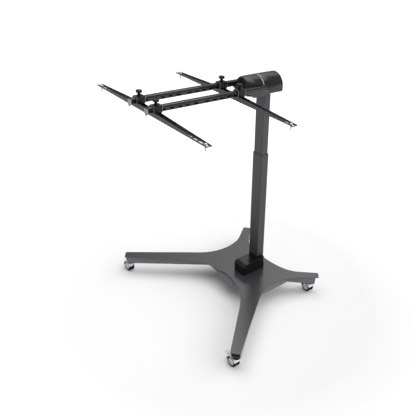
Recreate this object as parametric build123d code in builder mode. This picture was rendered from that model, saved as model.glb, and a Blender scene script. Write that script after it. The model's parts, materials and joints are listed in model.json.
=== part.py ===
from build123d import *
from math import cos, radians, sin
import os

os.makedirs("parts", exist_ok=True)

# Frame: +Z up, floor at Z 0, arms reaching towards -Y, cross bars along X. All in mm.
# Pieces are drawn about the column's axis, then stored about the middle of the overall footprint.
CENTRE_X = -24.126
CENTRE_Y = -277.672

# Base: a flat plate with four tapering legs over folded channels
PLATE_TOP = 126.0
PLATE_T = 4.0
PLATE_Z = PLATE_TOP - PLATE_T
CHANNEL_Z = 78.0
CHANNEL_W = 51.0
SHEET = 3.0
FRONT_TIP = (552.0, -608.0)
FRONT_IN = (-0.631, 0.776)
FRONT_CHANNEL_L = 560.0
FRONT_HEEL = 15.0
REAR_TIP = (327.0, 201.0)
REAR_IN = (-0.707, -0.707)
REAR_CHANNEL_L = 211.0
REAR_HEEL = 9.0
FRAME_X = 225.0
FRAME_FRONT = -212.0
FRAME_REAR = 55.0

# Twin-wheel casters, all trailing towards -X
SWIVEL_IN_FRONT = 32.0
SWIVEL_IN_REAR = 31.0
TRAIL = 22.0
WHEEL_R = 32.0
RIM_R = 20.5
WHEEL_W = 13.0
WHEEL_Y = 12.0
HOOD_R = 36.0
HOOD_T = 2.5
HOOD_W = 43.0
AXLE_R = 3.0
STEM_R = 5.5
RUN = 0.07

# Two-part lifting column
OUTER_X = 76.0
OUTER_Y = 52.0
INNER_X = 67.0
INNER_Y = 44.0
WALL = 2.5
OUTER_TOP = 867.0
COLLAR_TOP = 875.0
INNER_BOTTOM = 640.0
INNER_TOP = 1236.0
SPINDLE_R = 7.0
SPINDLE_TOP = 792.0

# Foot cover over the lift motor, in front of the column and round its right side
COVER_LEFT = -17.0
COVER_RIGHT = 72.0
COVER_FRONT = -155.0
COVER_H = 73.0

# Tilting frame, drawn in a deck that leans up at the front by the rest tilt
TILT = 3.9
DECK_Z = 1237.0
PIVOT_Z = 1279.0
SHAFT_R = 7.0
HEAD_R = 70.0
HEAD_C = 28.0
HEAD_FLOOR = 5.0
HEAD_REAR = -71.0
HEAD_FRONT = 160.0
NOSE_START = 130.0
NOSE_HALF = 50.0
NOSE_RISE = 70.0
SEAM_U = 58.0
SEAM_T = 6.0
SHELL = 3.0
TRAY_X = 73.5
TRAY_LOW = 1.0
TRAY_TOP = 27.7
RAIL_X = 73.5
RAIL_W = 30.0
RAIL_LOW = 28.0
RAIL_HIGH = 58.0
RAIL_MID = (RAIL_LOW + RAIL_HIGH) / 2
RAIL_R = 9.0
RAIL_FRONT = 777.0
RAIL_WALL = 2.0
HOLES_U = 478.0
HOLES_IN = 35.0
HOLE_PITCH = 45.5
HOLE_H = 39.5

# Cross bars and their carriages
BAR_L = 950.0
BAR_W = 30.0
BAR_T = 2.5
BAR_H = 25.0
BAR_END_H = 5.5
FRONT_BAR_U = 720.0
REAR_BAR_U = 226.0
SCREW_X = 450.0
SCREW_R = 4.0
SLOT_X = 456.0
SLOT_PITCH = 40.0
SLOTS = 7
SLOT_L = 30.0
SLOT_W = 9.0
CLAMP_L = 47.0
CLAMP_AHEAD = 6.5
KNOB_AHEAD = 7.5
GAP = 0.3

UP = (0.0, sin(radians(TILT)), cos(radians(TILT)))
AHEAD = (0.0, -cos(radians(TILT)), sin(radians(TILT)))


def deck_point(x, u, h):
    return (x, u * AHEAD[1] + h * UP[1], DECK_Z + u * AHEAD[2] + h * UP[2])


def level(x, u, h):
    # Plane lying in the deck: local x along X, local y towards the rear
    return Plane(origin=deck_point(x, u, h), x_dir=(1, 0, 0), z_dir=UP)


def across(u):
    # Plane across the deck: local x along X, local y up, normal ahead
    return Plane(origin=deck_point(0, u, 0), x_dir=(1, 0, 0), z_dir=AHEAD)


def beside(x):
    # Plane along the deck: local x ahead, local y up, normal towards -X
    return Plane(origin=deck_point(x, 0, 0), x_dir=AHEAD, z_dir=(-1, 0, 0))


def save(piece, label):
    # Everything is drawn about the column and stored about the middle of the overall footprint
    placed = piece.part.moved(Location((-CENTRE_X, -CENTRE_Y, 0)))
    placed.label = label
    export_step(placed, "parts/" + label + ".step")


# ---------------------------------------------------------------- base
with BuildPart() as base_plate:
    with BuildSketch(Plane.XY.offset(PLATE_Z)):
        with BuildLine():
            Spline(
                (0, -224), (89, -235), (150, -253), (230, -310), (300, -378),
                tangents=((1, 0), (0.68, -0.733)),
            )
            Line((300, -378), (531, -626))
            Line((531, -626), (573, -592))
            Line((573, -592), (286, -214))
            Spline(
                (286, -214), (245, -130), (234, -45), (250, 44), (289, 111),
                tangents=((-0.6, 0.8), (0.6, 0.8)),
            )
            Line((289, 111), (352, 195))
            Line((352, 195), (317, 225))
            Line((317, 225), (245, 148))
            Spline(
                (245, 148), (197, 109), (140, 86), (70, 74), (0, 71),
                tangents=((-0.69, -0.72), (-1, 0)),
            )
            mirror(about=Plane.YZ)
        make_face()
        with GridLocations(54, 22, 2, 2):
            Circle(4.1, mode=Mode.SUBTRACT)
    extrude(amount=PLATE_T)
    tips = base_plate.edges().filter_by(Axis.Z).filter_by(lambda e: e.center().Y < -580 or e.center().Y > 180)
    fillet(tips, 9)
save(base_plate, "base_plate")


def leg_plane(tip, inward, side):
    # Side view of a leg: local x inward from the tip, local y up from the channel's underside
    return Plane(
        origin=(side * tip[0], tip[1], CHANNEL_Z),
        x_dir=(side * inward[0], inward[1], 0),
        z_dir=(inward[1], -side * inward[0], 0),
    )


def swivel_at(tip, inward, reach, side):
    return (side * (tip[0] + reach * inward[0]), tip[1] + reach * inward[1])


CHANNEL_H = PLATE_Z - CHANNEL_Z
CHANNEL_IN = CHANNEL_W - 2 * SHEET
LEGS = (
    (FRONT_TIP, FRONT_IN, FRONT_CHANNEL_L, FRONT_HEEL, SWIVEL_IN_FRONT, -1),
    (FRONT_TIP, FRONT_IN, FRONT_CHANNEL_L, FRONT_HEEL, SWIVEL_IN_FRONT, 1),
    (REAR_TIP, REAR_IN, REAR_CHANNEL_L, REAR_HEEL, SWIVEL_IN_REAR, -1),
    (REAR_TIP, REAR_IN, REAR_CHANNEL_L, REAR_HEEL, SWIVEL_IN_REAR, 1),
)
SWIVELS = [swivel_at(tip, inward, reach, side) for tip, inward, length, heel, reach, side in LEGS]

with BuildPart() as leg_channels:
    for tip, inward, length, heel, reach, side in LEGS:
        with BuildSketch(leg_plane(tip, inward, side)):
            Polygon((5, CHANNEL_H), (length, CHANNEL_H), (length, 0), (heel, 0), align=None)
        extrude(amount=CHANNEL_W / 2, both=True)
        with BuildSketch(leg_plane(tip, inward, side)):
            Polygon(
                (-9, CHANNEL_H - SHEET), (length + 9, CHANNEL_H - SHEET), (length + 9, -9), (-9, -9), align=None
            )
        extrude(amount=CHANNEL_IN / 2, both=True, mode=Mode.SUBTRACT)
        with BuildSketch(leg_plane(tip, inward, side)):
            Polygon((18, 0), (18, 6), (62, 6), (62, 0), align=None)
        extrude(amount=CHANNEL_W / 2 - 1, both=True)
    with BuildSketch(Plane.XY.offset(CHANNEL_Z - 1)):
        with Locations(*SWIVELS):
            Circle(STEM_R + RUN)
    extrude(amount=10, mode=Mode.SUBTRACT)
save(leg_channels, "leg_channels")

with BuildPart() as frame_members:
    with BuildSketch(Plane.XY.offset(CHANNEL_Z)):
        with Locations((0, (FRAME_FRONT + FRAME_REAR) / 2)):
            Rectangle(2 * FRAME_X, FRAME_REAR - FRAME_FRONT)
            Rectangle(2 * (FRAME_X - SHEET), FRAME_REAR - FRAME_FRONT - 2 * SHEET, mode=Mode.SUBTRACT)
    extrude(amount=CHANNEL_H)
    for tip, inward, length, heel, reach, side in LEGS:
        with BuildSketch(leg_plane(tip, inward, side)):
            Polygon((5, CHANNEL_H + 1), (length, CHANNEL_H + 1), (length, -1), (heel, -1), align=None)
        extrude(amount=CHANNEL_W / 2, both=True, mode=Mode.SUBTRACT)
save(frame_members, "frame_members")

with BuildPart() as leg_end_caps:
    for tip, inward, length, heel, reach, side in LEGS:
        with BuildSketch(leg_plane(tip, inward, side)):
            Polygon((11, 40.7), (16, 40.7), (heel + 7, 6.6), (heel + 2, 6.6), align=None)
        extrude(amount=CHANNEL_IN / 2 - 0.3, both=True)
save(leg_end_caps, "leg_end_caps")

with BuildPart() as caster_stems:
    with BuildSketch(Plane.XY.offset(HOOD_R + WHEEL_R - 5.5)):
        with Locations(*SWIVELS):
            Circle(STEM_R)
    extrude(amount=CHANNEL_Z + 14 - (HOOD_R + WHEEL_R - 5.5))
    with BuildSketch(Plane.XY.offset(68.6)):
        with Locations(*SWIVELS):
            Circle(16)
    extrude(amount=CHANNEL_Z - 68.6)
save(caster_stems, "caster_stems")

with BuildPart() as front_flap:
    with BuildSketch(Plane.YZ.offset(-67)):
        Polygon(
            (FRAME_FRONT, 121.6), (-215, 121.6), (-251, 95.4), (-249.5, 93.2),
            (-214.6, 118.6), (-214.6, 84), (FRAME_FRONT, 84), align=None,
        )
    extrude(amount=134)
save(front_flap, "front_flap")

with BuildPart() as column_foot_plate:
    with BuildSketch(Plane.XY.offset(PLATE_Z - 10)):
        with Locations((0, (FRAME_FRONT + FRAME_REAR) / 2)):
            Rectangle(130, FRAME_REAR - FRAME_FRONT - 2 * SHEET)
        with Locations((0, 0)):
            with GridLocations(54, 22, 2, 2):
                Circle(4.2, mode=Mode.SUBTRACT)
    extrude(amount=10)
save(column_foot_plate, "column_foot_plate")

with BuildPart() as control_box:
    with BuildSketch(Plane.XY.offset(86)):
        with Locations((-140, -95)):
            RectangleRounded(112, 150, 5)
    extrude(amount=35.6)
    chamfer(control_box.faces().sort_by(Axis.Z)[0].edges(), 2)
    with BuildSketch(Plane.XY.offset(94)):
        with Locations((-140, -18)):
            Rectangle(30.4, 8)
    extrude(amount=20.4, mode=Mode.SUBTRACT)
save(control_box, "control_box")

with BuildPart() as power_inlet:
    with BuildSketch(Plane.XY.offset(94.2)):
        with Locations((-140, -19.4)):
            Rectangle(30, 5)
    extrude(amount=20)
    with BuildSketch(Plane.XY.offset(97)):
        with Locations((-140, -17.4)):
            Rectangle(23, 7)
    extrude(amount=14.4, mode=Mode.SUBTRACT)
    with BuildSketch(Plane.XZ.offset(21.4)):
        with Locations((-147, 104), (-133, 104), (-140, 107)):
            Rectangle(2, 4)
    extrude(amount=-3.6)
save(power_inlet, "power_inlet")

# ---------------------------------------------------------------- lifting column
with BuildPart() as outer_tube:
    with BuildSketch(Plane.XY.offset(PLATE_TOP)):
        RectangleRounded(OUTER_X, OUTER_Y, 4)
        RectangleRounded(OUTER_X - 2 * WALL, OUTER_Y - 2 * WALL, 2.5, mode=Mode.SUBTRACT)
    extrude(amount=OUTER_TOP - PLATE_TOP)
    with BuildSketch(Plane.XZ.offset(OUTER_Y / 2 - 5)):
        with Locations((0, 176)):
            Circle(6.3)
    extrude(amount=10, mode=Mode.SUBTRACT)
save(outer_tube, "outer_tube")

with BuildPart() as tube_collar:
    with BuildSketch(Plane.XY.offset(OUTER_TOP)):
        RectangleRounded(OUTER_X, OUTER_Y, 4)
    extrude(amount=COLLAR_TOP - OUTER_TOP)
    chamfer(tube_collar.faces().sort_by(Axis.Z)[-1].edges(), 2.5)
    with BuildSketch(Plane.XY.offset(OUTER_TOP - 22)):
        RectangleRounded(OUTER_X - 2 * WALL - 0.2, OUTER_Y - 2 * WALL - 0.2, 2.5)
    extrude(amount=22)
    with BuildSketch(Plane.XY.offset(OUTER_TOP - 23)):
        RectangleRounded(INNER_X + 2 * GAP, INNER_Y + 2 * GAP, 3.3)
    extrude(amount=40, mode=Mode.SUBTRACT)
save(tube_collar, "tube_collar")

with BuildPart() as tube_foot_block:
    with BuildSketch(Plane.XY.offset(PLATE_TOP)):
        RectangleRounded(OUTER_X - 2 * WALL - 0.3, OUTER_Y - 2 * WALL - 0.3, 2.5)
        with GridLocations(54, 22, 2, 2):
            Circle(4.1, mode=Mode.SUBTRACT)
    extrude(amount=40)
    with BuildSketch(Plane.XY.offset(140)):
        Circle(SPINDLE_R + RUN)
    extrude(amount=40, mode=Mode.SUBTRACT)
save(tube_foot_block, "tube_foot_block")

with BuildPart() as foot_bolts:
    with BuildSketch(Plane.XY.offset(PLATE_Z - 18)):
        with GridLocations(54, 22, 2, 2):
            RegularPolygon(7.5, 6)
    extrude(amount=8)
    with BuildSketch(Plane.XY.offset(PLATE_Z - 10)):
        with GridLocations(54, 22, 2, 2):
            Circle(4)
    extrude(amount=40)
save(foot_bolts, "foot_bolts")

with BuildPart() as lift_gearmotor:
    with BuildSketch(Plane.XY.offset(PLATE_TOP)):
        with Locations((24, -50)):
            RectangleRounded(70, 40, 4)
    extrude(amount=64)
    with BuildSketch(Plane.XZ.offset(68)):
        with Locations((24, 158)):
            Circle(25)
    extrude(amount=72)
    with BuildSketch(Plane.XZ.offset(18.8)):
        with Locations((0, 176)):
            Circle(6)
    extrude(amount=12)
save(lift_gearmotor, "lift_gearmotor")

with BuildPart() as foot_cover:
    with BuildSketch(Plane.XY.offset(PLATE_TOP)):
        with BuildLine():
            Polyline(
                (54, 12), (OUTER_X / 2 + 0.5, 12), (OUTER_X / 2 + 0.5, -OUTER_Y / 2 - 0.5),
                (COVER_LEFT, -OUTER_Y / 2 - 0.5), (COVER_LEFT, COVER_FRONT), (60, COVER_FRONT),
                (COVER_RIGHT, COVER_FRONT + 8), (COVER_RIGHT, -6),
            )
            ThreePointArc((COVER_RIGHT, -6), (COVER_RIGHT - 5.3, 6.7), (54, 12))
        make_face()
    extrude(amount=COVER_H)
    with BuildSketch(Plane.YZ.offset(-40)):
        Polygon(
            (COVER_FRONT - 5, PLATE_TOP + 56), (COVER_FRONT + 20, PLATE_TOP + COVER_H + 1.5),
            (COVER_FRONT - 5, PLATE_TOP + COVER_H + 5), align=None,
        )
    extrude(amount=140, mode=Mode.SUBTRACT)
    rims = foot_cover.faces().sort_by(Axis.Z)[-1].edges().filter_by(lambda e: e.center().Y < -30 or e.center().X > 46)
    chamfer(rims, 2.5)
    with BuildSketch(Plane.XY.offset(PLATE_TOP)):
        Polygon(
            (COVER_LEFT + 2.5, COVER_FRONT + 2.5), (58.8, COVER_FRONT + 2.5), (COVER_RIGHT - 2.5, COVER_FRONT + 9),
            (COVER_RIGHT - 2.5, -3), (58, 6), (OUTER_X / 2 + 3, 8), (OUTER_X / 2 + 3, -OUTER_Y / 2 - 3),
            (COVER_LEFT + 2.5, -OUTER_Y / 2 - 3), align=None,
        )
    extrude(amount=COVER_H - 15, mode=Mode.SUBTRACT)
    with BuildSketch(Plane.XY.offset(PLATE_TOP + COVER_H - 16)):
        with Locations((24, -79)):
            Rectangle(76, 106)
    extrude(amount=13, mode=Mode.SUBTRACT)
    with BuildSketch(Plane.XZ.offset(20)):
        with Locations((0, 176)):
            Circle(6.5)
    extrude(amount=10, mode=Mode.SUBTRACT)
save(foot_cover, "foot_cover")

with BuildPart() as spindle:
    with BuildSketch(Plane.XY.offset(141)):
        Circle(SPINDLE_R)
    extrude(amount=SPINDLE_TOP - 141)
    with BuildSketch(Plane.XY.offset(PLATE_TOP + 40 + GAP)):
        Circle(12)
    extrude(amount=6)
save(spindle, "spindle")

with BuildPart() as inner_tube:
    with BuildSketch(Plane.XY.offset(INNER_BOTTOM)):
        RectangleRounded(INNER_X, INNER_Y, 3)
        RectangleRounded(INNER_X - 2 * WALL, INNER_Y - 2 * WALL, 1.5, mode=Mode.SUBTRACT)
    extrude(amount=INNER_TOP - INNER_BOTTOM)
save(inner_tube, "inner_tube")

with BuildPart() as glide_sleeve:
    with BuildSketch(Plane.XY.offset(INNER_BOTTOM)):
        RectangleRounded(OUTER_X - 2 * WALL - 2 * GAP, OUTER_Y - 2 * WALL - 2 * GAP, 3)
        RectangleRounded(INNER_X + 0.1, INNER_Y + 0.1, 3, mode=Mode.SUBTRACT)
    extrude(amount=60)
save(glide_sleeve, "glide_sleeve")

with BuildPart() as spindle_nut:
    with BuildSketch(Plane.XY.offset(INNER_BOTTOM)):
        RectangleRounded(INNER_X - 2 * WALL - 0.2, INNER_Y - 2 * WALL - 0.2, 2)
        Circle(SPINDLE_R + RUN, mode=Mode.SUBTRACT)
    extrude(amount=32)
save(spindle_nut, "spindle_nut")

with BuildPart() as column_head:
    with BuildSketch(Plane.XY.offset(INNER_TOP - 40)):
        RectangleRounded(INNER_X - 2 * WALL - 0.2, INNER_Y - 2 * WALL - 0.2, 2)
    extrude(amount=40)
    with BuildSketch(Plane.XY.offset(INNER_TOP)):
        RectangleRounded(INNER_X, INNER_Y, 3)
    extrude(amount=4)
    with BuildSketch(Plane.YZ.offset(25)):
        with Locations((0, (INNER_TOP + 4 + PIVOT_Z) / 2)):
            Rectangle(30, PIVOT_Z - INNER_TOP - 4)
        with Locations((0, PIVOT_Z)):
            Circle(15)
            Circle(SHAFT_R + RUN, mode=Mode.SUBTRACT)
    extrude(amount=8)
    mirror(about=Plane.YZ)
save(column_head, "column_head")

# ---------------------------------------------------------------- tilting head
PIVOT_U = (PIVOT_Z - DECK_Z) * AHEAD[2]
PIVOT_H = (PIVOT_Z - DECK_Z) * UP[2]

with BuildPart() as tilt_shaft:
    with BuildSketch(beside(62)):
        with Locations((PIVOT_U, PIVOT_H)):
            Circle(SHAFT_R)
    extrude(amount=124)
save(tilt_shaft, "tilt_shaft")

with BuildPart() as tilt_cradle:
    with BuildSketch(beside(47)):
        with Locations((PIVOT_U, PIVOT_H)):
            Circle(18)
        Polygon(
            (PIVOT_U, PIVOT_H - 18), (SEAM_U, PIVOT_H - 11), (SEAM_U, PIVOT_H + 18), (PIVOT_U, PIVOT_H + 18), align=None
        )
        with Locations((PIVOT_U, PIVOT_H)):
            Circle(SHAFT_R + 0.05, mode=Mode.SUBTRACT)
    extrude(amount=94)
    with BuildSketch(beside(41)):
        Polygon((-40, -20), (SEAM_U - 4, -20), (SEAM_U - 4, 110), (-40, 110), align=None)
    extrude(amount=82, mode=Mode.SUBTRACT)
    with BuildSketch(across(SEAM_U - 6)):
        with Locations((0, 48)):
            Rectangle(46.6, 33)
    extrude(amount=8, mode=Mode.SUBTRACT)
save(tilt_cradle, "tilt_cradle")


def half_round(radius):
    with Locations((0, HEAD_C)):
        Circle(radius)
    with Locations((0, HEAD_C - radius)):
        Rectangle(2 * radius, 2 * radius, mode=Mode.SUBTRACT)


def trough(radius, floor, mode=Mode.ADD):
    # Straight sides down to a flat floor with bevelled corners
    Polygon(
        (-radius, HEAD_C), (-radius, floor + 5), (5 - radius, floor), (radius - 5, floor), (radius, floor + 5),
        (radius, HEAD_C), align=None, mode=mode,
    )


def arch(radius, floor):
    half_round(radius)
    trough(radius, floor)


with BuildPart() as head_plate:
    with BuildSketch(across(SEAM_U)):
        half_round(HEAD_R + 0.8)
        trough(HEAD_R - SHELL, HEAD_FLOOR + SHELL)
        with Locations((-RAIL_X, RAIL_MID), (RAIL_X, RAIL_MID)):
            Rectangle(RAIL_W, RAIL_HIGH - RAIL_LOW, mode=Mode.SUBTRACT)
        with Locations((0, 48)):
            Rectangle(46.6, 33, mode=Mode.SUBTRACT)
    extrude(amount=SEAM_T)
save(head_plate, "head_plate")

with BuildPart() as rear_shell:
    with BuildSketch(across(HEAD_REAR + 5)):
        arch(HEAD_R, HEAD_FLOOR)
    extrude(amount=SEAM_U - HEAD_REAR - 5)
    with BuildSketch(across(HEAD_REAR)):
        arch(HEAD_R - SHELL, HEAD_FLOOR + SHELL)
    extrude(amount=SEAM_U - HEAD_REAR, mode=Mode.SUBTRACT)
    with BuildSketch(across(SEAM_U)):
        trough(HEAD_R, HEAD_FLOOR)
        trough(HEAD_R - SHELL, HEAD_FLOOR + SHELL, Mode.SUBTRACT)
    extrude(amount=SEAM_T)
    with BuildSketch(level(0, 0, HEAD_FLOOR - 5)):
        with Locations((0, 11.5)):
            Rectangle(82, 99)
    extrude(amount=12, mode=Mode.SUBTRACT)
save(rear_shell, "rear_shell")

with BuildPart() as rear_cap:
    with BuildSketch(across(HEAD_REAR)):
        arch(HEAD_R, HEAD_FLOOR)
    extrude(amount=5)
    chamfer(rear_cap.faces().sort_by(Axis.Y)[-1].edges(), 2)
save(rear_cap, "rear_cap")


def nose_section(u, half, rise, floor):
    # The same arch with its own half width and rise, so the front shell can narrow towards its nose
    with BuildSketch(across(u)) as section:
        with BuildLine():
            EllipticalCenterArc((0, HEAD_C), half, rise, start_angle=0, arc_size=180)
            Polyline(
                (-half, HEAD_C), (-half, floor + 5), (5 - half, floor), (half - 5, floor), (half, floor + 5),
                (half, HEAD_C),
            )
        make_face()
    return section.sketch


with BuildPart() as front_shell:
    with BuildSketch(across(SEAM_U + SEAM_T)):
        arch(HEAD_R, HEAD_FLOOR)
    extrude(amount=NOSE_START - SEAM_U - SEAM_T)
    loft([nose_section(NOSE_START, HEAD_R, HEAD_R, HEAD_FLOOR),
          nose_section(HEAD_FRONT, NOSE_HALF, NOSE_RISE, HEAD_FLOOR)])
    fillet(front_shell.faces().sort_by(Axis.Y)[0].edges(), 4)
    with BuildSketch(across(SEAM_U)):
        arch(HEAD_R - SHELL, HEAD_FLOOR + SHELL)
    extrude(amount=NOSE_START - SEAM_U, mode=Mode.SUBTRACT)
    loft([nose_section(NOSE_START, HEAD_R - SHELL, HEAD_R - SHELL, HEAD_FLOOR + SHELL),
          nose_section(HEAD_FRONT - SHELL, NOSE_HALF - SHELL, NOSE_RISE - SHELL, HEAD_FLOOR + SHELL)],
         mode=Mode.SUBTRACT)
    with BuildSketch(across(SEAM_U)):
        with Locations((-RAIL_X, RAIL_MID), (RAIL_X, RAIL_MID)):
            Rectangle(RAIL_W + 2, RAIL_HIGH - RAIL_LOW + 2.4)
    extrude(amount=HEAD_FRONT - SEAM_U + 5, mode=Mode.SUBTRACT)
save(front_shell, "front_shell")

with BuildPart() as tilt_gearmotor:
    with BuildSketch(across(PIVOT_U - 14)):
        with Locations((0, 47)):
            RectangleRounded(46, 30, 3)
    extrude(amount=SEAM_U + SEAM_T + 2 - PIVOT_U + 14)
    with BuildSketch(across(SEAM_U + SEAM_T + 2)):
        with Locations((0, 52)):
            Circle(20)
    extrude(amount=60)
    with BuildSketch(beside(30)):
        with Locations((PIVOT_U, PIVOT_H)):
            Circle(SHAFT_R + 0.05)
    extrude(amount=60, mode=Mode.SUBTRACT)
save(tilt_gearmotor, "tilt_gearmotor")

with BuildPart() as rails:
    with BuildSketch(across(SEAM_U)):
        with Locations((-RAIL_X, RAIL_MID), (RAIL_X, RAIL_MID)):
            RectangleRounded(RAIL_W, RAIL_HIGH - RAIL_LOW, RAIL_R)
        with Locations((-RAIL_X, RAIL_MID), (RAIL_X, RAIL_MID)):
            RectangleRounded(
                RAIL_W - 2 * RAIL_WALL, RAIL_HIGH - RAIL_LOW - 2 * RAIL_WALL, RAIL_R - RAIL_WALL, mode=Mode.SUBTRACT
            )
    extrude(amount=RAIL_FRONT - SEAM_U)
    with BuildSketch(beside(100)):
        for n in range(5):
            with Locations((HOLES_U - HOLES_IN - HOLE_PITCH * n, HOLE_H), (HOLES_U + HOLES_IN + HOLE_PITCH * n, HOLE_H)):
                SlotOverall(34, 9)
        with Locations((RAIL_FRONT - 20, HOLE_H)):
            Circle(5)
    extrude(amount=200, mode=Mode.SUBTRACT)
save(rails, "rails")

with BuildPart() as rail_support:
    with BuildSketch(beside(TRAY_X)):
        with BuildLine():
            Polyline((45, TRAY_TOP), (157, TRAY_TOP), (131, TRAY_LOW), (40, TRAY_LOW))
            ThreePointArc((40, TRAY_LOW), (27.5, 10), (45, TRAY_TOP))
        make_face()
    extrude(amount=2 * TRAY_X)
    with BuildSketch(across(20)):
        with Locations((0, TRAY_LOW + SHELL + 30)):
            Rectangle(2 * (TRAY_X - SHELL), 60)
    extrude(amount=150, mode=Mode.SUBTRACT)
    with BuildSketch(across(20)):
        Rectangle(2 * (TRAY_X - SHELL), 40)
    extrude(amount=42, mode=Mode.SUBTRACT)
    with BuildSketch(beside(TRAY_X + 1.5)):
        with Locations((44, 13)):
            Circle(6)
    extrude(amount=3)
    with BuildSketch(beside(-TRAY_X + 1.5)):
        with Locations((44, 13)):
            Circle(6)
    extrude(amount=3)
save(rail_support, "rail_support")

with BuildPart() as rail_end_plates:
    with BuildSketch(across(RAIL_FRONT)):
        with Locations((-RAIL_X, 0), (RAIL_X, 0)):
            Polygon((-15, 52), (15, 52), (15, 30), (5, 19), (-5, 19), (-15, 30), align=None)
    extrude(amount=3)
save(rail_end_plates, "rail_end_plates")


# ---------------------------------------------------------------- bar carriages
def carriage(name, u):
    with BuildPart() as bar:
        with BuildSketch(across(u - BAR_W / 2)):
            Polygon(
                (-BAR_L / 2, 0), (BAR_L / 2, 0), (BAR_L / 2, BAR_END_H), (60, BAR_H), (-60, BAR_H),
                (-BAR_L / 2, BAR_END_H), align=None,
            )
        extrude(amount=BAR_W)
        with BuildSketch(across(u - BAR_W / 2 + BAR_T)):
            with Locations((0, BAR_T + 20)):
                Rectangle(BAR_L + 10, 40)
        extrude(amount=BAR_W - 2 * BAR_T, mode=Mode.SUBTRACT)
        with BuildSketch(level(0, u, -1)):
            with Locations(*[(s * (SLOT_X - SLOT_PITCH * n), 0) for n in range(SLOTS) for s in (-1, 1)]):
                SlotOverall(SLOT_L, SLOT_W)
        extrude(amount=10, mode=Mode.SUBTRACT)
    save(bar, name + "_bar")
    with BuildPart() as clamps:
        with BuildSketch(across(u + CLAMP_AHEAD - CLAMP_L / 2)):
            with Locations((-RAIL_X, 44.15), (RAIL_X, 44.15)):
                RectangleRounded(RAIL_W + 8.6, 36.3, 2.5)
        extrude(amount=CLAMP_L)
        with BuildSketch(level(0, u + KNOB_AHEAD, 60)):
            with Locations((-RAIL_X, 0), (RAIL_X, 0)):
                Circle(10)
        extrude(amount=6.3)
        with BuildSketch(across(u - CLAMP_L)):
            with Locations((-RAIL_X, RAIL_MID), (RAIL_X, RAIL_MID)):
                RectangleRounded(RAIL_W + 2 * GAP, RAIL_HIGH - RAIL_LOW + 2 * GAP, RAIL_R + GAP)
        extrude(amount=2 * CLAMP_L, mode=Mode.SUBTRACT)
        with BuildSketch(level(0, u + KNOB_AHEAD, 50)):
            with Locations((-RAIL_X, 0), (RAIL_X, 0)):
                Circle(SCREW_R + RUN)
        extrude(amount=30, mode=Mode.SUBTRACT)
    save(clamps, name + "_clamps")
    with BuildPart() as feet:
        with BuildSketch(level(0, u, BAR_T)):
            with Locations((-RAIL_X, 0), (RAIL_X, 0)):
                Rectangle(36, BAR_W - 2 * BAR_T - 0.6)
        extrude(amount=26 - BAR_T)
    save(feet, name + "_clamp_feet")
    with BuildPart() as screws:
        with BuildSketch(level(0, u, BAR_T)):
            with Locations((-SCREW_X, 0), (SCREW_X, 0)):
                RegularPolygon(7.5, 6)
        extrude(amount=5.3)
        with BuildSketch(level(0, u, -0.5)):
            with Locations((-SCREW_X, 0), (SCREW_X, 0)):
                Circle(SCREW_R + 0.4)
        extrude(amount=1.5 + BAR_T)
        with BuildSketch(level(0, u, -25)):
            with Locations((-SCREW_X, 0), (SCREW_X, 0)):
                Circle(SCREW_R)
        extrude(amount=26)
    save(screws, name + "_screws")


def knob(name, x, u):
    with BuildPart() as body:
        with BuildSketch(Plane(origin=deck_point(x, u, 0), x_dir=AHEAD, z_dir=(-1, 0, 0))):
            Polygon(
                (0, 58.35), (SCREW_R, 58.35), (SCREW_R, 66.6), (8, 66.6), (8, 70), (10, 77), (16.5, 80), (16.5, 88),
                (14, 91), (0, 91), align=None,
            )
        revolve(axis=Axis(deck_point(x, u, 0), UP))
        with BuildSketch(level(x, u, 76)):
            with PolarLocations(20.3, 6):
                Circle(6)
        extrude(amount=20, mode=Mode.SUBTRACT)
    save(body, name)


carriage("front", FRONT_BAR_U)
carriage("rear", REAR_BAR_U)
knob("knob_front_left", -RAIL_X, FRONT_BAR_U + KNOB_AHEAD)
knob("knob_front_right", RAIL_X, FRONT_BAR_U + KNOB_AHEAD)
knob("knob_rear_left", -RAIL_X, REAR_BAR_U + KNOB_AHEAD)
knob("knob_rear_right", RAIL_X, REAR_BAR_U + KNOB_AHEAD)


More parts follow.
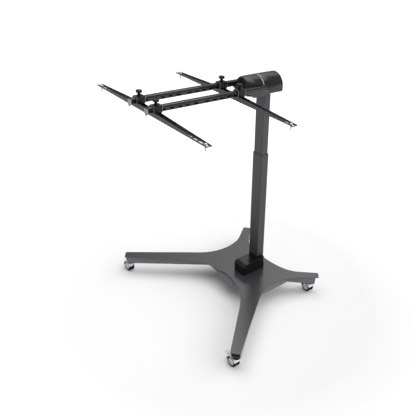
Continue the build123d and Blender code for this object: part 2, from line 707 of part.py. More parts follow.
# ---------------------------------------------------------------- casters
def caster(name, swivel, brake):
    x, y = swivel
    side = Plane(origin=(x - TRAIL, y, WHEEL_R), x_dir=(1, 0, 0), z_dir=(0, -1, 0))
    with BuildPart() as hood:
        with BuildSketch(side):
            Circle(HOOD_R)
            with Locations((0, -HOOD_R - 3)):
                Rectangle(4 * HOOD_R, 2 * HOOD_R, mode=Mode.SUBTRACT)
            Polygon((8, -10), (60, -10), (60, 17), (24, 11), align=None, mode=Mode.SUBTRACT)
        extrude(amount=HOOD_W / 2, both=True)
        with BuildSketch(Plane.XY.offset(50)):
            with Locations((x, y)):
                Circle(9)
        extrude(amount=18.3)
        if brake:
            with BuildSketch(side):
                Polygon((-33, 20), (-39.5, 18.5), (-43.5, 14), (-39.5, 10), (-34, 8), align=None)
            extrude(amount=12, both=True)
            with BuildSketch(side):
                with Locations((-39.5, 14)):
                    Circle(5.2)
            extrude(amount=8, both=True, mode=Mode.SUBTRACT)
            with BuildSketch(side):
                Polygon((-36.2, 8), (-36.2, 22), (-50, 22), (-50, 8), align=None)
            extrude(amount=8, both=True, mode=Mode.SUBTRACT)
            with BuildSketch(side):
                with Locations((-39.5, 14)):
                    Circle(2 + RUN)
            extrude(amount=13, both=True, mode=Mode.SUBTRACT)
        for start, depth in ((4, 40), (-4, -40)):
            with BuildSketch(side.offset(start)):
                Circle(HOOD_R - HOOD_T)
            extrude(amount=depth, mode=Mode.SUBTRACT)
        with BuildSketch(side):
            Circle(7)
        extrude(amount=4, both=True)
        with BuildSketch(side):
            Circle(AXLE_R + 0.05)
        extrude(amount=5, both=True, mode=Mode.SUBTRACT)
        with BuildSketch(Plane.XY.offset(HOOD_R + WHEEL_R - 6)):
            with Locations((x, y)):
                Circle(STEM_R + RUN)
        extrude(amount=12, mode=Mode.SUBTRACT)
    save(hood, name + "_hood")
    with BuildPart() as axle:
        with BuildSketch(side):
            Circle(AXLE_R)
        extrude(amount=WHEEL_Y + WHEEL_W / 2 + 1, both=True)
    save(axle, name + "_axle")
    with BuildPart() as tyres:
        for s in (-1, 1):
            with BuildSketch(side.offset(s * WHEEL_Y)):
                Circle(WHEEL_R)
            extrude(amount=WHEEL_W / 2, both=True)
        fillet(tyres.edges().filter_by(GeomType.CIRCLE), 2.5)
        with BuildSketch(side):
            Circle(RIM_R)
        extrude(amount=30, both=True, mode=Mode.SUBTRACT)
    save(tyres, name + "_tyres")
    with BuildPart() as hubs:
        for s in (-1, 1):
            with BuildSketch(side.offset(s * WHEEL_Y)):
                Circle(RIM_R)
            extrude(amount=WHEEL_W / 2 - 0.5, both=True)
        with BuildSketch(side):
            Circle(AXLE_R + RUN)
        extrude(amount=30, both=True, mode=Mode.SUBTRACT)
    save(hubs, name + "_hubs")
    if brake:
        with BuildPart() as pedal:
            with BuildSketch(side):
                with Locations((-39.5, 14)):
                    Circle(3.6)
                Polygon((-39.5, 10.5), (-39.5, 17.5), (-48, 21.5), (-64, 24), (-64, 20.5), (-48, 16), align=None)
            extrude(amount=7.6, both=True)
            with BuildSketch(side):
                Polygon((-45.6, 20.4), (-48, 21.5), (-64, 24), (-64, 20.5), (-48, 16), (-45.6, 14.9), align=None)
            extrude(amount=11, both=True)
            with BuildSketch(side):
                with Locations((-39.5, 14)):
                    Circle(2)
            extrude(amount=12, both=True)
        save(pedal, name + "_pedal")


caster("caster_fl", SWIVELS[0], True)
caster("caster_fr", SWIVELS[1], True)
caster("caster_rl", SWIVELS[2], False)
caster("caster_rr", SWIVELS[3], False)
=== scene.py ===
import json
import math

import bpy
import bmesh
from mathutils import Matrix, Vector


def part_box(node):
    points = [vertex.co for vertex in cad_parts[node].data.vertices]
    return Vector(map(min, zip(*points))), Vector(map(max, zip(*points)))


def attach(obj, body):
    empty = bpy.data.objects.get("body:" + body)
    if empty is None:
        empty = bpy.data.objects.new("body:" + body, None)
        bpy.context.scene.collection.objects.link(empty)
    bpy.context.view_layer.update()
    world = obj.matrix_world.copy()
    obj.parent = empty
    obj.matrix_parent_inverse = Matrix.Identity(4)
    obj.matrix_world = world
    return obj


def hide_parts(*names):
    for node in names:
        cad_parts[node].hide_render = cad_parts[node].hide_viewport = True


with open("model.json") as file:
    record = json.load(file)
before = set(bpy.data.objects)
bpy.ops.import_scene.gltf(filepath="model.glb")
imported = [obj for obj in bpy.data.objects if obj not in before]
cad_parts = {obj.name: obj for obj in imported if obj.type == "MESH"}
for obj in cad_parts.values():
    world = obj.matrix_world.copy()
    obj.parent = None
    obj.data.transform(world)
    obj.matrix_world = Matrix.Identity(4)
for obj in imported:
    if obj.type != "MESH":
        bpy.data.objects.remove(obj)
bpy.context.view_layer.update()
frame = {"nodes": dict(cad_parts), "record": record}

scene = bpy.context.scene
NODES = frame["nodes"]
JOINTS = {j["name"]: j for j in frame["record"]["behaviour"]["joints"]}

# ------------------------------------------------------------------ camera and light

# The camera, as fitted to the photograph's parallel edges
EYE = Vector((2.412326, -1.878428, 2.4092))
DOWN = math.radians(30.63)
TURN = math.radians(53.2)
LENS = 54.65
SENSOR = 36

cam_data = bpy.data.cameras.new("camera")
cam = bpy.data.objects.new("camera", cam_data)
scene.collection.objects.link(cam)
cam.location = EYE
cam.rotation_euler = (math.pi / 2 - DOWN, 0, TURN)
cam_data.lens = LENS
cam_data.sensor_width = SENSOR
cam_data.clip_end = 100
scene.camera = cam

scene.view_settings.view_transform = "Standard"
scene.view_settings.look = "None"

# Surroundings: direction, where the rise starts and ends as a cosine, and the strength before and after it
FILL = ((0.8, 0.6, 0.0), 0.0, 1.0, 0.2, 2.2)
GLOSS = ((-0.38, 0.62, 0.69), 0.88, 1.0, 0.25, 1.35)
SEEN = 1.0

# The soft box overhead
BOX_AT = (-0.45, -0.1, 3.0)
BOX_AIM = (-0.45, -0.1, 0)
BOX_SIZE = (3.0, 3.0)
BOX_POWER = 66

# Socket numbers of the Mix node: its float pair, its colour pair and its colour result
FLOAT_A, FLOAT_B = 2, 3
COLOUR_A, COLOUR_B, COLOUR_OUT = 6, 7, 2


def studio():
    """White to the eye; for diffuse rays a fill stronger from one side; for glossy rays one bright patch."""
    world = bpy.data.worlds.new("studio")
    scene.world = world
    world.use_nodes = True
    tree = world.node_tree
    path = tree.nodes.new("ShaderNodeLightPath")
    way = tree.nodes.new("ShaderNodeTexCoord")

    def towards(aim, start, end, low, high):
        """Strength that rises smoothly as a ray turns towards the aim."""
        dot = tree.nodes.new("ShaderNodeVectorMath")
        dot.operation = "DOT_PRODUCT"
        dot.inputs[1].default_value = aim
        tree.links.new(way.outputs["Generated"], dot.inputs[0])
        ramp = tree.nodes.new("ShaderNodeMapRange")
        ramp.interpolation_type = "SMOOTHSTEP"
        ramp.inputs["From Min"].default_value = start
        ramp.inputs["From Max"].default_value = end
        ramp.inputs["To Min"].default_value = low
        ramp.inputs["To Max"].default_value = high
        tree.links.new(dot.outputs["Value"], ramp.inputs["Value"])
        return ramp.outputs["Result"]

    gloss = tree.nodes.new("ShaderNodeMix")
    tree.links.new(path.outputs["Is Glossy Ray"], gloss.inputs[0])
    tree.links.new(towards(*FILL), gloss.inputs[FLOAT_A])
    tree.links.new(towards(*GLOSS), gloss.inputs[FLOAT_B])
    seen = tree.nodes.new("ShaderNodeMix")
    seen.inputs[FLOAT_B].default_value = SEEN
    tree.links.new(path.outputs["Is Camera Ray"], seen.inputs[0])
    tree.links.new(gloss.outputs[0], seen.inputs[FLOAT_A])
    back = tree.nodes["Background"]
    back.inputs["Color"].default_value = (1, 1, 1, 1)
    tree.links.new(seen.outputs[0], back.inputs["Strength"])


def area_light(name, loc, aim, size, power):
    data = bpy.data.lights.new(name, "AREA")
    data.shape = "RECTANGLE"
    data.size, data.size_y = size
    data.energy = power
    obj = bpy.data.objects.new(name, data)
    scene.collection.objects.link(obj)
    obj.location = loc
    obj.rotation_euler = (Vector(aim) - Vector(loc)).to_track_quat("-Z", "Y").to_euler()


studio()
area_light("top_box", BOX_AT, BOX_AIM, BOX_SIZE, BOX_POWER)


# ------------------------------------------------------------------ materials

# Edge wear and painted edge highlight: bevel radii in metres, and the cosines at which the lighter edge
# starts and is complete
COAT_EDGE = 0.0015
MOULDED_EDGE = 0.001
WEAR_AND_SHEEN_START = 0.995
WEAR_AND_SHEEN_FULL = 0.85


class Shader:
    """A node material built up call by call."""

    def __init__(self, name):
        self.mat = bpy.data.materials.new(name)
        self.mat.use_nodes = True
        self.tree = self.mat.node_tree
        self.bsdf = self.tree.nodes["Principled BSDF"]
        self.coord = self.node("ShaderNodeTexCoord").outputs["Object"]

    def node(self, kind, **props):
        n = self.tree.nodes.new(kind)
        for key, value in props.items():
            setattr(n, key, value)
        return n

    def wire(self, a, b):
        self.tree.links.new(a, b)

    def noise(self, scale, detail=3, rough=0.5, stretch=(1, 1, 1)):
        m = self.node("ShaderNodeMapping")
        m.inputs["Scale"].default_value = stretch
        self.wire(self.coord, m.inputs["Vector"])
        n = self.node("ShaderNodeTexNoise")
        n.inputs["Scale"].default_value = scale
        n.inputs["Detail"].default_value = detail
        n.inputs["Roughness"].default_value = rough
        self.wire(m.outputs["Vector"], n.inputs["Vector"])
        return n.outputs["Fac"]

    def cells(self, scale):
        n = self.node("ShaderNodeTexVoronoi")
        n.inputs["Scale"].default_value = scale
        self.wire(self.coord, n.inputs["Vector"])
        return n.outputs["Distance"]

    def ramp(self, source, low, high, a=0.0, b=1.0):
        n = self.node("ShaderNodeMapRange")
        n.inputs["From Min"].default_value = low
        n.inputs["From Max"].default_value = high
        n.inputs["To Min"].default_value = a
        n.inputs["To Max"].default_value = b
        self.wire(source, n.inputs["Value"])
        return n.outputs["Result"]

    def math(self, op, a, b):
        n = self.node("ShaderNodeMath", operation=op)
        for socket, value in zip(n.inputs, (a, b)):
            if isinstance(value, (int, float)):
                socket.default_value = value
            else:
                self.wire(value, socket)
        return n.outputs[0]

    def mix(self, fac, a, b):
        n = self.node("ShaderNodeMix", data_type="RGBA")
        for socket, value in ((n.inputs[0], fac), (n.inputs[COLOUR_A], a), (n.inputs[COLOUR_B], b)):
            if isinstance(value, (int, float, tuple)):
                socket.default_value = value
            else:
                self.wire(value, socket)
        return n.outputs[COLOUR_OUT]

    def edges(self, radius):
        """1 on sharp outer edges, 0 on flats."""
        bevel = self.node("ShaderNodeBevel", samples=4)
        bevel.inputs["Radius"].default_value = radius
        geo = self.node("ShaderNodeNewGeometry")
        dot = self.node("ShaderNodeVectorMath", operation="DOT_PRODUCT")
        self.wire(bevel.outputs["Normal"], dot.inputs[0])
        self.wire(geo.outputs["Normal"], dot.inputs[1])
        return self.ramp(dot.outputs["Value"], WEAR_AND_SHEEN_START, WEAR_AND_SHEEN_FULL)

    def bump(self, source, strength, distance):
        n = self.node("ShaderNodeBump")
        n.inputs["Strength"].default_value = strength
        n.inputs["Distance"].default_value = distance
        self.wire(source, n.inputs["Height"])
        self.wire(n.outputs["Normal"], self.bsdf.inputs["Normal"])

    def set(self, **values):
        for key, value in values.items():
            self.bsdf.inputs[key.replace("_", " ")].default_value = value


def rgb(r, g=None, b=None):
    """A colour with full alpha; one number makes a grey."""
    return (r, r if g is None else g, r if b is None else b, 1)


def scaled(colour, gain, lift=0.0):
    """A colour made lighter or darker."""
    return tuple(min(1, c * gain + lift) for c in colour[:3]) + (1,)


def coat(name, base, rough, grain=1100, bump=0.08, wear_and_sheen=0.25, blotch=0.1, spec=0.5):
    """Painted or powder-coated metal: fine orange peel, faint cloudiness, and edges lightened in patches,
    partly as rubbed wear and partly as a painted highlight.
    """
    s = Shader(name)
    cloud = s.ramp(s.noise(9, 4, 0.55), 0.35, 0.65)
    colour = s.mix(cloud, scaled(base, 1 - blotch), scaled(base, 1 + blotch))
    # Lighter edges in patches: partly rubbed wear, partly a painted highlight along the edges
    rub_and_sheen = s.ramp(s.noise(60, 4, 0.7), 0.45, 0.62, 0.2 * wear_and_sheen, wear_and_sheen)
    edge_wear_and_sheen = s.math("MULTIPLY", s.edges(COAT_EDGE), rub_and_sheen)
    s.wire(s.mix(edge_wear_and_sheen, colour, scaled(base, 2, 0.06)), s.bsdf.inputs["Base Color"])
    smear = s.noise(28, 5, 0.6, (1, 1, 0.25))
    s.wire(s.ramp(smear, 0.3, 0.7, rough * 0.88, min(1, rough * 1.12)), s.bsdf.inputs["Roughness"])
    s.set(Specular_IOR_Level=spec)
    s.bump(s.noise(grain, 2, 0.5), bump, 0.0004)
    return s.mat


def metal(name, base, rough, scale=700, bump=0.05, metallic=1.0):
    """Bare or plated metal: fine lay marks and uneven polish."""
    s = Shader(name)
    lay = s.noise(scale, 3, 0.6)
    cloud = s.ramp(s.noise(25, 3, 0.5), 0.35, 0.65)
    s.wire(s.mix(cloud, scaled(base, 0.85), base), s.bsdf.inputs["Base Color"])
    s.wire(s.ramp(lay, 0.3, 0.7, rough * 0.75, min(1, rough * 1.3)), s.bsdf.inputs["Roughness"])
    s.set(Metallic=metallic)
    s.bump(lay, bump, 0.0002)
    return s.mat


def moulded(name, base, rough, grain=900, bump=0.15, wear_and_sheen=0.2, spec=0.5):
    """Moulded plastic or rubber with a fine spark-eroded texture, and edges lightened evenly, partly as wear
    and partly as a painted highlight.
    """
    s = Shader(name)
    cloud = s.ramp(s.noise(18, 3, 0.5), 0.35, 0.65)
    colour = s.mix(cloud, scaled(base, 0.88), base)
    # Lighter edges all round: partly wear, partly a painted highlight along the edges
    edge_wear_and_sheen = s.math("MULTIPLY", s.edges(MOULDED_EDGE), wear_and_sheen)
    s.wire(s.mix(edge_wear_and_sheen, colour, scaled(base, 1.6, 0.05)), s.bsdf.inputs["Base Color"])
    smear = s.noise(45, 4, 0.6)
    s.wire(s.ramp(smear, 0.3, 0.7, rough * 0.85, min(1, rough * 1.15)), s.bsdf.inputs["Roughness"])
    s.set(Specular_IOR_Level=spec)
    s.bump(s.cells(grain), bump, 0.0003)
    return s.mat


# One material for each slot of the record; base colours are linear
MATS = {
    "base_plate": coat(
        "base_plate_coat", rgb(0.03, 0.0305, 0.032), 0.24, bump=0.012, wear_and_sheen=0.15, blotch=0.06, spec=1.0),
    "frame": coat("frame_coat", rgb(0.12, 0.122, 0.125), 0.4),
    "column": coat(
        "column_coat", rgb(0.05, 0.051, 0.053), 0.3, bump=0.03, wear_and_sheen=0.05, blotch=0.05, spec=0.24),
    "head_shell": coat("head_coat", rgb(0.009, 0.0092, 0.0095), 0.24, wear_and_sheen=0.1, spec=0.48),
    "light_trim": coat("trim_coat", rgb(0.26, 0.26, 0.265), 0.35),
    "rail": coat("rail_coat", rgb(0.007, 0.007, 0.0075), 0.2, wear_and_sheen=0.1),
    "bar": coat("bar_coat", rgb(0.03, 0.031, 0.033), 0.3, spec=0.4),
    "clamp": coat("clamp_coat", rgb(0.007), 0.22, wear_and_sheen=0.3, spec=0.2),
    "knob": moulded("knob_plastic", rgb(0.004), 0.18, wear_and_sheen=0.1, spec=0.25),
    "fastener": metal("zinc_plate", rgb(0.78, 0.79, 0.8), 0.25, metallic=0.4),
    # The cover's strongly lightened edges are mostly a painted highlight along its chamfers
    "cover": moulded("cover_plastic", rgb(0.005), 0.2, bump=0.06, wear_and_sheen=0.9),
    "glide": moulded("glide_plastic", rgb(0.6, 0.6, 0.57), 0.5),
    "drive": coat("drive_casting", rgb(0.12), 0.5, grain=400, bump=0.4),
    "steel": metal("ground_steel", rgb(0.5, 0.5, 0.52), 0.35),
    "nut": metal("turned_brass", rgb(0.7, 0.5, 0.22), 0.3),
    "caster_hood": metal("chrome", rgb(0.9, 0.9, 0.92), 0.12, scale=60, bump=0.02, metallic=0.25),
    "tyre": moulded("tyre_rubber", rgb(0.004), 0.5, grain=600, spec=0.15),
    "caster_hub": moulded("hub_plastic", rgb(0.8, 0.8, 0.82), 0.25),
    "pedal": moulded("pedal_plastic", rgb(0.95), 0.3),
}

for row in frame["record"]["subparts"]:
    node = NODES[row["node"]]
    node.data.materials.clear()
    node.data.materials.append(MATS[row["material_slot"]])


WELD_GAP = 0.000002
SHARP = math.radians(50)


def soften(obj, width):
    """Small rounds on sharp edges, as modifiers that leave the mesh itself alone."""
    weld = obj.modifiers.new("weld", "WELD")
    weld.merge_threshold = WELD_GAP
    bevel = obj.modifiers.new("bevel", "BEVEL")
    bevel.width = width
    bevel.segments = 2
    bevel.limit_method = "ANGLE"
    bevel.angle_limit = SHARP
    bevel.use_clamp_overlap = True


# Width in metres of the rounds on each softened CAD node
ROUNDS = {
    "base_plate": 0.0008, "leg_channels": 0.0006, "frame_members": 0.0006, "front_flap": 0.0003,
    "outer_tube": 0.001, "inner_tube": 0.0004, "tube_collar": 0.001, "foot_cover": 0.0007,
    "head_plate": 0.0008, "rear_shell": 0.0004, "front_shell": 0.0004, "rear_cap": 0.0005,
    "rails": 0.0004, "rail_support": 0.0004, "rail_end_plates": 0.0006,
    "front_bar": 0.0004, "rear_bar": 0.0004, "front_clamps": 0.0008, "rear_clamps": 0.0008,
}
for name, width in ROUNDS.items():
    soften(NODES[name], width)


# ------------------------------------------------------------------ building detailed pieces

def piece(name, bm, slot, body, stands_for=(), smooth=True):
    """Turn a bmesh into a named piece that rides on a body and may stand for CAD nodes."""
    bmesh.ops.recalc_face_normals(bm, faces=bm.faces)
    mesh = bpy.data.meshes.new(name)
    bm.to_mesh(mesh)
    bm.free()
    for face in mesh.polygons:
        face.use_smooth = smooth
    mesh.materials.append(MATS[slot])
    obj = bpy.data.objects.new(name, mesh)
    scene.collection.objects.link(obj)
    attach(obj, body)
    if stands_for:
        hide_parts(*stands_for)
    return obj


def crisp(obj, angle=35):
    """Keep the creases sharp on a smooth-shaded piece."""
    mesh = obj.data
    limit = math.cos(math.radians(angle))
    normals = {}
    for face in mesh.polygons:
        for key in face.edge_keys:
            normals.setdefault(key, []).append(face.normal.copy())
    for edge in mesh.edges:
        pair = normals.get(tuple(sorted(edge.vertices)), ())
        if len(pair) == 2 and pair[0].dot(pair[1]) < limit:
            edge.use_edge_sharp = True


def basis(origin, along):
    """Matrix whose local Z runs along a direction."""
    z = Vector(along).normalized()
    x = Vector((1, 0, 0)) if abs(z.x) < 0.9 else Vector((0, 1, 0))
    y = z.cross(x).normalized()
    x = y.cross(z)
    turn = Matrix((x, y, z)).transposed().to_4x4()
    return Matrix.Translation(origin) @ turn


def band(bm, low, high):
    """Faces between two loops of equally many vertices."""
    count = len(low)
    for k in range(count):
        bm.faces.new((low[k], low[(k + 1) % count], high[(k + 1) % count], high[k]))


def rings(bm, place, rows, around, solid=True):
    """Skin a stack of rings; each row gives (radius, height) for an angle.

    A solid stack has a cap at each end; otherwise its last ring joins its first.
    """
    made = []
    for row in rows:
        ring = []
        for k in range(around):
            angle = 2 * math.pi * k / around
            r, z = row(angle)
            ring.append(bm.verts.new(place @ Vector((r * math.cos(angle), r * math.sin(angle), z))))
        made.append(ring)
    for low, high in zip(made, made[1:]):
        band(bm, low, high)
    if solid:
        bm.faces.new(list(reversed(made[0])))
        bm.faces.new(made[-1])
    else:
        band(bm, made[-1], made[0])


def plain(r, z):
    """A row that is the same all the way round."""
    return lambda angle: (r, z)


# The deck that the rails carry: up out of it, ahead along the rails, and across
DECK_UP = Vector(JOINTS["knob_turn_front_left"]["axis"]).normalized()
DECK_AHEAD = Vector(JOINTS["front_bar_slide"]["axis"]).normalized()
SIDE = Vector((1, 0, 0))

CORNERS = {"fl": "front_left", "fr": "front_right", "rl": "rear_left", "rr": "rear_right"}
BRAKED = ("fl", "fr")


def deck(origin):
    """Matrix at a point with local X across, local Y ahead and local Z up out of the deck."""
    return Matrix.Translation(origin) @ Matrix((SIDE, DECK_AHEAD, DECK_UP)).transposed().to_4x4()


# Clamp knobs: six-lobed head on a waisted collar
KNOB_LOBES = 6
KNOB_SIDES = 72


def knob_rows():
    def lobed(r, z, depth):
        return lambda a: (r - depth * (0.5 + 0.5 * math.cos(KNOB_LOBES * a)) ** 1.4, z)

    # Radius, height, and depth of the hollows between lobes
    profile = [
        (0.0038, -0.0262, 0), (0.0040, -0.0258, 0), (0.0040, -0.0184, 0), (0.0080, -0.0184, 0),
        (0.0082, -0.0180, 0), (0.0082, -0.0152, 0), (0.0078, -0.0146, 0), (0.0070, -0.0138, 0),
        (0.0074, -0.0105, 0), (0.0092, -0.0078, 0.0001), (0.0128, -0.0064, 0.0008),
        (0.0152, -0.0056, 0.0017), (0.0162, -0.0044, 0.0021), (0.0165, -0.0028, 0.0022),
        (0.0165, 0.0012, 0.0022), (0.0162, 0.0032, 0.0021), (0.0152, 0.0046, 0.0018),
        (0.0136, 0.0053, 0.0012), (0.0112, 0.0055, 0.0004), (0.0098, 0.0054, 0),
        (0.0094, 0.0049, 0), (0.0080, 0.0048, 0), (0.0040, 0.0052, 0), (0.0008, 0.0053, 0),
    ]
    return [lobed(*p) for p in profile]


for end in ("front", "rear"):
    for hand in ("left", "right"):
        joint = JOINTS["knob_turn_%s_%s" % (end, hand)]
        bm = bmesh.new()
        rings(bm, basis(joint["pos_m"], joint["axis"]), knob_rows(), KNOB_SIDES)
        tag = "knob_%s_%s" % (end, hand)
        crisp(piece(tag + "_star", bm, "knob", tag, (tag,)), 50)


# Clamp rims: a light folded lip round each end of every clamp, its pale colour a painted highlight on the
# clamp's end edges
CLAMP_BACK = 0.001
CLAMP_DOWN = 0.04085
RIM_INNER = (0.0188, 0.0176, 0.002)
RIM_OUTER = (0.0199, 0.0187, 0.0031)
RIM_STARTS = (-0.0235, 0.0223)
RIM_THICK = 0.0012
RIM_ROUND = 0.0003


def rounded_box(half_w, half_h, radius, steps=5):
    """Outline of a rounded rectangle."""
    points = []
    for cx, cy, start in ((1, 1, 0), (-1, 1, 90), (-1, -1, 180), (1, -1, 270)):
        for k in range(steps + 1):
            a = math.radians(start + 90 * k / steps)
            x = cx * (half_w - radius) + radius * math.cos(a)
            y = cy * (half_h - radius) + radius * math.sin(a)
            points.append((x, y))
    return points


def lip(bm, place, inner, outer, y0, y1):
    """A closed frame between two outlines, from y0 to y1 ahead."""
    loops = []
    for outline, y in ((inner, y0), (outer, y0), (outer, y1), (inner, y1)):
        loops.append([bm.verts.new(place @ Vector((px, y, pz))) for px, pz in outline])
    for a, b in zip(loops, loops[1:] + loops[:1]):
        band(bm, a, b)


for end in ("front", "rear"):
    bm = bmesh.new()
    for hand in ("left", "right"):
        joint = JOINTS["knob_turn_%s_%s" % (end, hand)]
        place = deck(joint["pos_m"]) @ Matrix.Translation((0, -CLAMP_BACK, -CLAMP_DOWN))
        for y in RIM_STARTS:
            lip(bm, place, rounded_box(*RIM_INNER), rounded_box(*RIM_OUTER), y, y + RIM_THICK)
    # Pale lips: a painted highlight where the clamp's end edges catch the light
    rim_highlights = piece(end + "_clamp_rim_highlights", bm, "light_trim", end + "_carriage")
    crisp(rim_highlights)
    soften(rim_highlights, RIM_ROUND)


# Mounting screws: chamfered hexagon head, shoulder in the slot and a cut thread below the bar
HEAD_ROWS = ((0.0075, 0.0), (0.0075, 0.0042), (0.0064, 0.0053))
HEAD_RADIUS = 0.0075
SHOULDER_RADIUS = 0.0044
SHOULDER_DEEP = 0.0030
THREAD_RADIUS = 0.004
THREAD_LENGTH = 0.0240
THREAD_PITCH = 0.00125
THREAD_CUT = 0.0007
POINT_CUT = 0.0012
POINT_DEEP = 0.0034
SCREW_BACK = 0.0075
SEAT_DOWN = 0.0825


def crest(z):
    """One row of the thread: the cut runs once round for each pitch of height."""
    def at(angle):
        phase = (z / THREAD_PITCH - angle / (2 * math.pi)) % 1
        cut = abs(2 * phase - 1)
        return THREAD_RADIUS - THREAD_CUT * cut, z
    return at


def screw(bm, place):
    rings(bm, place, [plain(r, z) for r, z in HEAD_ROWS], 6)
    rings(bm, place, [plain(SHOULDER_RADIUS, 0.0), plain(SHOULDER_RADIUS, -SHOULDER_DEEP)], 32)
    steps = int(THREAD_LENGTH / THREAD_PITCH * 4)
    stack = [crest(-SHOULDER_DEEP - THREAD_LENGTH * k / steps) for k in range(steps + 1)]
    stack.append(plain(THREAD_RADIUS - POINT_CUT, -POINT_DEEP - THREAD_LENGTH))
    rings(bm, place, stack, 24)


for end in ("front", "rear"):
    low, high = (Vector(c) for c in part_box(end + "_screws"))
    knob_at = Vector(JOINTS["knob_turn_%s_left" % end]["pos_m"])
    seat = knob_at - DECK_AHEAD * SCREW_BACK - DECK_UP * SEAT_DOWN
    bm = bmesh.new()
    for x in (low.x + HEAD_RADIUS, high.x - HEAD_RADIUS):
        screw(bm, deck(Vector((x, seat.y, seat.z))))
    crisp(piece(end + "_screws_cut", bm, "fastener", end + "_carriage", (end + "_screws",)))


# Casters: grooved tyres, spoked hubs and ribbed pedals
WHEEL_OUT = 0.012
TYRE_SIDES = 96
HUB_SIDES = 120
HUB_HALF = 0.0060
SPOKES = 5
SPOKE_HALF = 0.0022


def tyre_rows(side, middle):
    """Radius and height round one tyre's section, with two grooves in its tread."""
    outline = [
        (0.0206, -0.0062), (0.0290, -0.0063), (0.0304, -0.0060), (0.0314, -0.0050), (0.0318, -0.0036),
        (0.03195, -0.0024), (0.0311, -0.0019), (0.0311, -0.0011), (0.0320, -0.0006), (0.0320, 0.0006),
        (0.0311, 0.0011), (0.0311, 0.0019), (0.03195, 0.0024), (0.0318, 0.0036), (0.0314, 0.0050),
        (0.0304, 0.0060), (0.0290, 0.0063), (0.0206, 0.0062),
    ]
    return [plain(r, z * side + middle) for r, z in outline]


def hub_rows(side, middle):
    """One wheel's hub: flat inboard, dished and five-spoked outboard."""

    def face(r, depth, spokes=0.0):
        def at(angle):
            across = math.sin(SPOKES / 2 * angle) * 2 / SPOKES * r
            web = 1 / (1 + (across / SPOKE_HALF) ** 4)
            return r, side * (HUB_HALF - depth + spokes * web) + middle
        return at

    rows = [plain(0.0032, middle - side * HUB_HALF), plain(0.0203, middle - side * HUB_HALF)]
    rows += [face(0.0203, 0.0008), face(0.0197, 0.0), face(0.0184, 0.0), face(0.0178, 0.0006)]
    rows += [face(0.0172, 0.0030, 0.0020), face(0.0150, 0.0034, 0.0024), face(0.0120, 0.0034, 0.0026)]
    rows += [face(0.0090, 0.0034, 0.0028), face(0.0076, 0.0030, 0.0026), face(0.0070, 0.0002)]
    rows += [face(0.0062, 0.0), face(0.0036, 0.0), face(0.0032, 0.0004)]
    return rows


for corner, place_name in CORNERS.items():
    joint = JOINTS["wheels_roll_" + place_name]
    at = basis(joint["pos_m"], joint["axis"])
    tyres = bmesh.new()
    hubs = bmesh.new()
    for side in (-1, 1):
        rings(tyres, at, tyre_rows(side, side * WHEEL_OUT), TYRE_SIDES, solid=False)
        rings(hubs, at, hub_rows(side, side * WHEEL_OUT), HUB_SIDES, solid=False)
    body = "wheels_" + place_name
    crisp(piece("caster_%s_treads" % corner, tyres, "tyre", body, ("caster_%s_tyres" % corner,)), 40)
    crisp(piece("caster_%s_spokes" % corner, hubs, "caster_hub", body, ("caster_%s_hubs" % corner,)), 40)

# Grip ribs: small rods with eased ends, laid across the pedal's slope
RIBS = 4
RIB_ROWS = ((0.0006, 0), (0.0009, 0.0006), (0.0009, 0.0184), (0.0006, 0.019))
for corner in BRAKED:
    place_name = CORNERS[corner]
    hinge = Vector(JOINTS["brake_press_" + place_name]["pos_m"])
    bm = bmesh.new()
    for k in range(RIBS):
        along = 0.30 + 0.18 * k
        foot = hinge + Vector((-0.0085 - 0.016 * along, -0.0095, 0.0074 + 0.0025 * along))
        rings(bm, basis(foot, (0, 1, 0)), [plain(r, z) for r, z in RIB_ROWS], 12)
    piece("caster_%s_pedal_ribs" % corner, bm, "pedal", "pedal_" + place_name)


# A turned dust cap round each swivel, between the leg and the hood
DUST_LOW = 0.069
DUST_SIDES = 64
DUST_ROWS = (
    (0.0162, 0), (0.0205, 0), (0.0218, 0.0012), (0.0218, 0.0070), (0.0205, 0.0086), (0.0162, 0.0086),
)
bm = bmesh.new()
for place_name in CORNERS.values():
    spot = Vector(JOINTS["swivel_turn_" + place_name]["pos_m"])
    spot.z = DUST_LOW
    rings(bm, basis(spot, (0, 0, 1)), [plain(r, z) for r, z in DUST_ROWS], DUST_SIDES, solid=False)
crisp(piece("caster_dust_caps", bm, "tyre", "base"), 40)


# Ribbed plugs closing the open ends of the four leg channels
PLUG_HALF = 0.0222
PLUG_DEEP = 0.005
PLUG_GROOVE = 0.003
PLUG_RIBS = 5
PLUG_LOW = 0.0846
PLUG_TOP = 0.1187
PLUG_SET = 0.011

# Corner, direction inwards, distance from swivel to leg tip, and how far in the plug's lower edge is set
LEG_ENDS = (
    ("front_left", (0.631, 0.776), 0.032, 0.017), ("front_right", (-0.631, 0.776), 0.032, 0.017),
    ("rear_left", (0.707, -0.707), 0.031, 0.011), ("rear_right", (-0.707, -0.707), 0.031, 0.011),
)


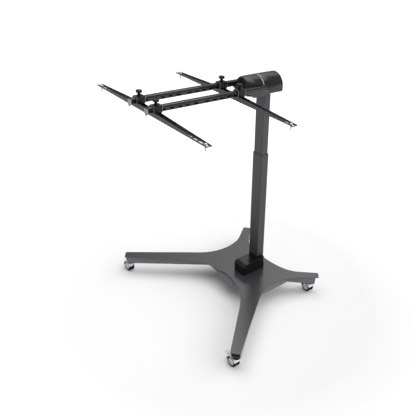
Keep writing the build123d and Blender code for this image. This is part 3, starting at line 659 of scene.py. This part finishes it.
def plug_outline():
    """Across and inward coordinates round a plug whose outer face carries upright ribs."""
    points = [(PLUG_HALF, PLUG_DEEP), (-PLUG_HALF, PLUG_DEEP)]
    step = 2 * PLUG_HALF / (2 * PLUG_RIBS - 1)
    for k in range(2 * PLUG_RIBS - 1):
        depth = 0.0 if k % 2 == 0 else PLUG_GROOVE
        points += [(-PLUG_HALF + step * k, depth), (-PLUG_HALF + step * (k + 1), depth)]
    return points


bm = bmesh.new()
for place_name, inward, reach, heel in LEG_ENDS:
    inward = Vector((inward[0], inward[1], 0)).normalized()
    sideways = inward.cross(Vector((0, 0, 1)))
    tip = Vector(JOINTS["swivel_turn_" + place_name]["pos_m"]) - inward * reach
    levels = []
    for z, start in ((PLUG_LOW, heel), (PLUG_TOP, PLUG_SET)):
        level = []
        for across, depth in plug_outline():
            spot = tip + sideways * across + inward * (start + depth)
            level.append(bm.verts.new((spot.x, spot.y, z)))
        levels.append(level)
    band(bm, *levels)
    for level in levels:
        bm.faces.new(level)
piece("leg_end_plugs", bm, "tyre", "base", ("leg_end_caps",), smooth=False)


# ------------------------------------------------------------------ floor

FLOOR_HALF = 30
GLOW_START = 0.9
GLOW_END = 2.4
GLOW = 0.5


def floor():
    """A pale matt sheet, lit up with distance from the stand so that it fades into the surroundings."""
    mesh = bpy.data.meshes.new("floor")
    corners = [(x * FLOOR_HALF, y * FLOOR_HALF, 0) for x, y in ((-1, -1), (1, -1), (1, 1), (-1, 1))]
    mesh.from_pydata(corners, [], [(0, 1, 2, 3)])
    obj = bpy.data.objects.new("floor", mesh)
    scene.collection.objects.link(obj)
    s = Shader("floor_sheet")
    s.wire(s.mix(s.ramp(s.noise(0.6, 3), 0.3, 0.7), rgb(0.9), rgb(0.93)), s.bsdf.inputs["Base Color"])
    s.set(Roughness=0.9, Specular_IOR_Level=0.2, Emission_Color=(1, 1, 1, 1))
    far = s.node("ShaderNodeVectorMath", operation="LENGTH")
    s.wire(s.coord, far.inputs[0])
    s.wire(s.ramp(far.outputs["Value"], GLOW_START, GLOW_END, 0.0, GLOW), s.bsdf.inputs["Emission Strength"])
    mesh.materials.append(s.mat)


floor()
